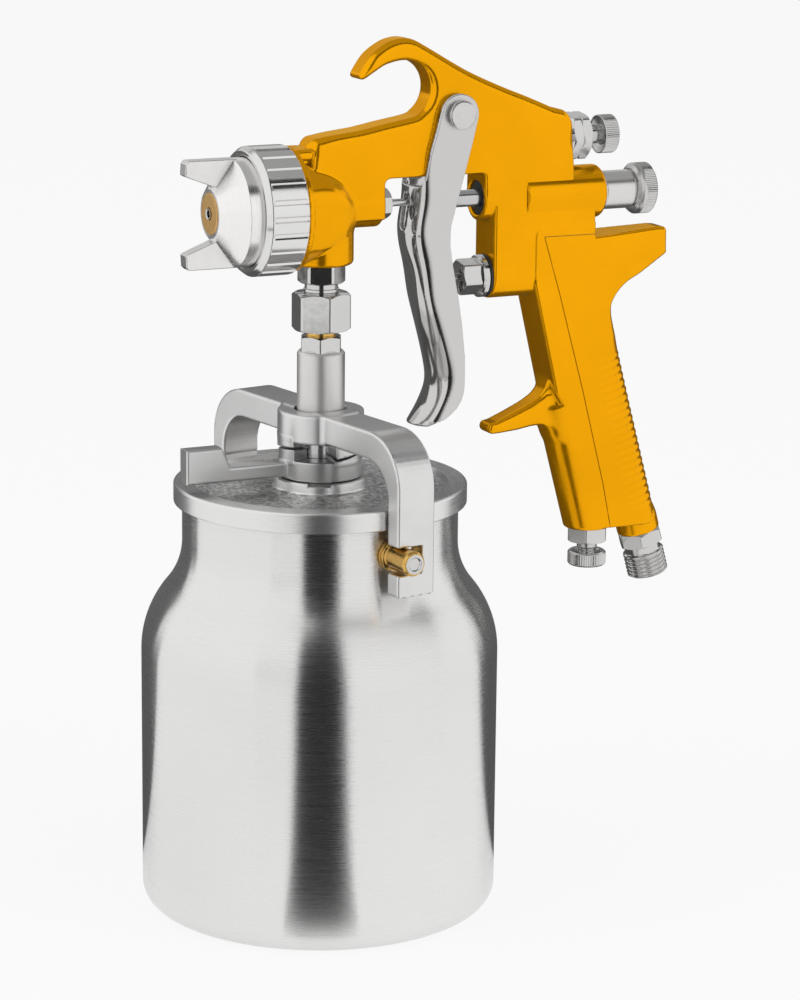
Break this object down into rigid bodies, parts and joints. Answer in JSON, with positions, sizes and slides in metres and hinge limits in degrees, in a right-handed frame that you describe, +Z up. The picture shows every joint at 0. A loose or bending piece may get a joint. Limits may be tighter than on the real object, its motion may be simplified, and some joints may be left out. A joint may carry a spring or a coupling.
{
  "type": "suction feed spray gun",
  "caption": "Siphon-feed air spray gun with a die-cast pistol body, hooked top, two-finger trigger, screw-in air cap and a clamped aluminium paint cup.",
  "frame": {"origin": "centre of the cup's flat base", "axes": "+Z up along the cup and siphon stem, the spray leaves along -X, the handle and knobs point to +X, Y is the width"},
  "size_m": [0.177, 0.112, 0.2676],
  "materials": {
    "body_paint": "gloss golden-orange enamel on die-cast aluminium",
    "nickel": "bright nickel plate",
    "steel": "plain steel",
    "trigger_steel": "satin cheeks, polished web",
    "satin_aluminium": "satin cast aluminium",
    "brushed_aluminium": "brushed round the axis",
    "brass": "plain turned brass",
    "rubber": "black rubber",
    "packing": "white fluoropolymer"
  },
  "bodies": {
    "gun": {"gun_body": "body_paint", "fluid_nozzle": "steel", "air_baffle": "brass", "needle_packing": "packing", "packing_nut": "nickel", "needle_guide": "brass", "needle_spring": "steel", "fluid_control_sleeve": "nickel", "fan_bushing": "nickel", "air_valve_nut": "nickel", "air_valve_washer": "rubber", "air_valve_seat": "brass", "air_valve_spring": "steel", "trigger_pin": "steel", "trigger_pin_screw": "steel", "regulator_bushing": "nickel", "air_inlet": "nickel", "fluid_inlet": "nickel", "cone_seat": "brass", "siphon_stem": "steel", "spacer_sleeve": "steel", "siphon_tube": "steel", "stem_locknut": "steel", "lid": "brushed_aluminium", "lid_gasket": "rubber", "cup": "brushed_aluminium", "cup_studs": "brass", "stud_plugs": "steel"},
    "trigger": {"trigger": "trigger_steel"},
    "needle": {"fluid_needle": "steel", "needle_carrier": "steel"},
    "air_valve": {"air_valve_rod": "steel"},
    "fluid_control": {"fluid_knob": "nickel"},
    "fan_control": {"fan_stem": "steel", "fan_knob": "nickel"},
    "regulator": {"regulator_stem": "steel", "regulator_knob": "nickel"},
    "cap": {"air_cap": "satin_aluminium", "air_cap_centre": "brass"},
    "cap_ring": {"air_cap_ring": "nickel"},
    "union": {"union_nut": "nickel"},
    "yoke": {"yoke": "satin_aluminium"},
    "lever": {"clamp_lever": "satin_aluminium"}
  },
  "joints": [
    {"name": "trigger_pull", "type": "hinge", "parent": "gun", "child": "trigger", "pos_m": [0.042, 0, 0.2449], "axis": [0, -1, 0], "range_deg": [0, 11], "stiffness_Nm_per_rad": 2, "springref_deg": -8.59},
    {"name": "needle_slide", "type": "slide", "parent": "gun", "child": "needle", "axis": [1, 0, 0], "range_m": [0, 0.0052], "deforming": ["needle_spring"]},
    {"name": "air_valve_slide", "type": "slide", "parent": "gun", "child": "air_valve", "axis": [1, 0, 0], "range_m": [0, 0.0101], "deforming": ["air_valve_spring"]},
    {"name": "fluid_knob_turn", "type": "hinge", "parent": "gun", "child": "fluid_control", "pos_m": [0.108, 0, 0.218], "axis": [1, 0, 0], "continuous": true},
    {"name": "fan_knob_turn", "type": "hinge", "parent": "gun", "child": "fan_control", "pos_m": [0.096, 0, 0.2356], "axis": [1, 0, 0], "continuous": true},
    {"name": "regulator_knob_turn", "type": "hinge", "parent": "gun", "child": "regulator", "pos_m": [0.0931, 0, 0.1], "axis": [0, 0, 1], "continuous": true},
    {"name": "air_cap_turn", "type": "hinge", "parent": "gun", "child": "cap", "pos_m": [-0.03, 0, 0.218], "axis": [1, 0, 0], "range_deg": [-90, 90]},
    {"name": "air_cap_ring_turn", "type": "hinge", "parent": "gun", "child": "cap_ring", "pos_m": [-0.019, 0, 0.218], "axis": [1, 0, 0], "continuous": true},
    {"name": "union_nut_turn", "type": "hinge", "parent": "gun", "child": "union", "pos_m": [0, 0, 0.1864], "axis": [0, 0, 1], "continuous": true},
    {"name": "yoke_turn", "type": "hinge", "parent": "gun", "child": "yoke", "pos_m": [0, 0, 0.15], "axis": [0, 0, 1], "range_deg": [0, 15]},
    {"name": "lever_turn", "type": "hinge", "parent": "yoke", "child": "lever", "pos_m": [0, 0, 0.139], "axis": [0, 0, 1], "range_deg": [0, 55]}
  ],
  "couplings": [
    {"joint": "needle_slide", "follows": "trigger_pull", "m_per_rad": 0.026},
    {"joint": "air_valve_slide", "follows": "trigger_pull", "m_per_rad": 0.0512}
  ]
}
